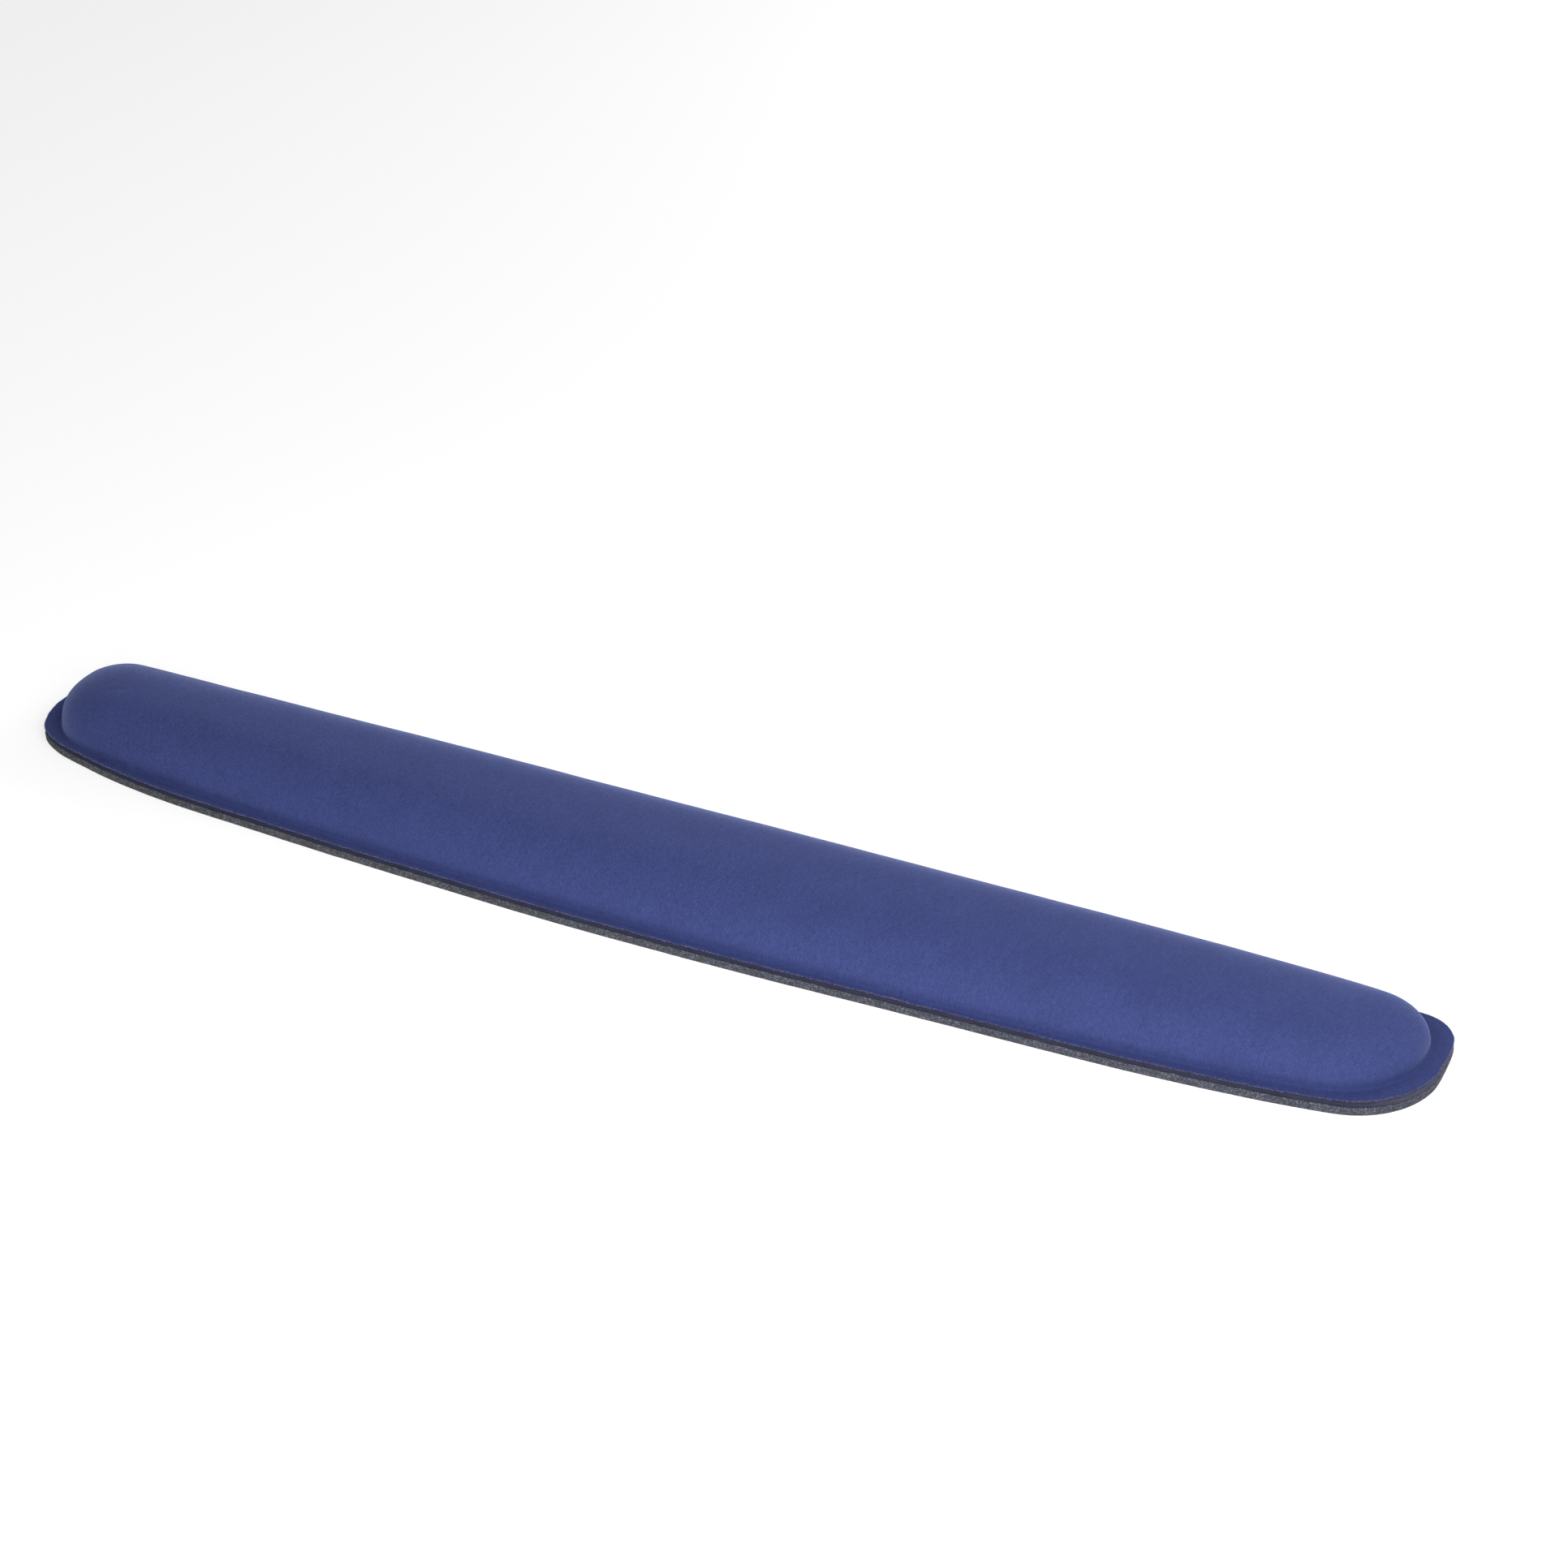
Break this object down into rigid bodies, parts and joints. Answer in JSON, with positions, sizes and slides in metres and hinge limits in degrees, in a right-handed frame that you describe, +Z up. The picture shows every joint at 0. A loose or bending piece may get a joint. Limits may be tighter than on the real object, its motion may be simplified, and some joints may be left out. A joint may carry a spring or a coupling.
{
  "type": "wrist rest",
  "caption": "Long low keyboard wrist rest: a domed foam cushion under a blue knit cover with a flat pressed rim, on a carrier sheet and a non-slip sponge-rubber base.",
  "frame": {"origin": "centre of the base's underside, on the desk", "axes": "+X along the length, +Y from the user's side towards the keyboard (the straighter edge), +Z up"},
  "size_m": [0.452, 0.062, 0.0195],
  "materials": {
    "sponge_rubber": "matte",
    "adhesive_film": "satin",
    "carrier_sheet": "matte",
    "foam": "matte",
    "knit_fabric": "matte"
  },
  "bodies": {
    "root": {"sponge_base": "sponge_rubber", "base_adhesive": "adhesive_film", "carrier_sheet": "carrier_sheet", "cover_adhesive": "adhesive_film", "foam_core": "foam", "knit_cover": "knit_fabric"}
  },
  "joints": []
}
